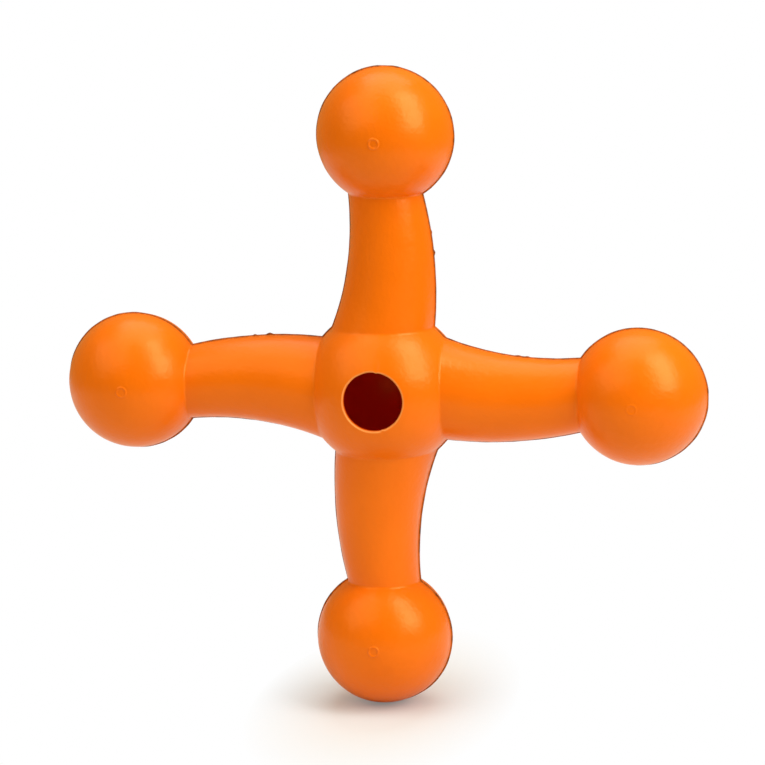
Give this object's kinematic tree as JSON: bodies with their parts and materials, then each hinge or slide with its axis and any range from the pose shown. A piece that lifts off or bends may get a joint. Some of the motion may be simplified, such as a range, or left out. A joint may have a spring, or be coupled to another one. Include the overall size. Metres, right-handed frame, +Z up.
{
  "type": "rubber chew toy",
  "caption": "Orange rubber chew toy: a hollow hub with a treat hole, bowed tapering arms set crosswise and a ball on the end of each arm.",
  "frame": {"origin": "centre of the hub", "axes": "+Z up along the upper arm, +X along the right arm, the treat hole faces -Y"},
  "size_m": [0.165, 0.0397, 0.165],
  "materials": {
    "rubber": "satin moulded rubber"
  },
  "bodies": {
    "hub": {"hub": "rubber"},
    "upper_arm": {"upper_arm": "rubber"},
    "right_arm": {"right_arm": "rubber"},
    "lower_arm": {"lower_arm": "rubber"},
    "left_arm": {"left_arm": "rubber"},
    "upper_ball": {"upper_ball": "rubber"},
    "right_ball": {"right_ball": "rubber"},
    "lower_ball": {"lower_ball": "rubber"},
    "left_ball": {"left_ball": "rubber"}
  },
  "joints": [
    {"name": "upper_arm_bend", "type": "hinge", "parent": "hub", "child": "upper_arm", "pos_m": [0, 0, 0], "axis": [0, 1, 0], "range_deg": [-6, 6], "stiffness_Nm_per_rad": 2},
    {"name": "right_arm_bend", "type": "hinge", "parent": "hub", "child": "right_arm", "pos_m": [0, 0, 0], "axis": [0, 1, 0], "range_deg": [-6, 6], "stiffness_Nm_per_rad": 2},
    {"name": "lower_arm_bend", "type": "hinge", "parent": "hub", "child": "lower_arm", "pos_m": [0, 0, 0], "axis": [0, 1, 0], "range_deg": [-6, 6], "stiffness_Nm_per_rad": 2},
    {"name": "left_arm_bend", "type": "hinge", "parent": "hub", "child": "left_arm", "pos_m": [0, 0, 0], "axis": [0, 1, 0], "range_deg": [-6, 6], "stiffness_Nm_per_rad": 2},
    {"name": "upper_ball_twist", "type": "hinge", "parent": "upper_arm", "child": "upper_ball", "pos_m": [0, 0, 0.0649], "axis": [0, 0, 1], "range_deg": [-30, 30], "stiffness_Nm_per_rad": 0.6},
    {"name": "right_ball_twist", "type": "hinge", "parent": "right_arm", "child": "right_ball", "pos_m": [0.0649, 0, 0], "axis": [1, 0, 0], "range_deg": [-30, 30], "stiffness_Nm_per_rad": 0.6},
    {"name": "lower_ball_twist", "type": "hinge", "parent": "lower_arm", "child": "lower_ball", "pos_m": [0, 0, -0.0649], "axis": [0, 0, -1], "range_deg": [-30, 30], "stiffness_Nm_per_rad": 0.6},
    {"name": "left_ball_twist", "type": "hinge", "parent": "left_arm", "child": "left_ball", "pos_m": [-0.0649, 0, 0], "axis": [-1, 0, 0], "range_deg": [-30, 30], "stiffness_Nm_per_rad": 0.6}
  ]
}
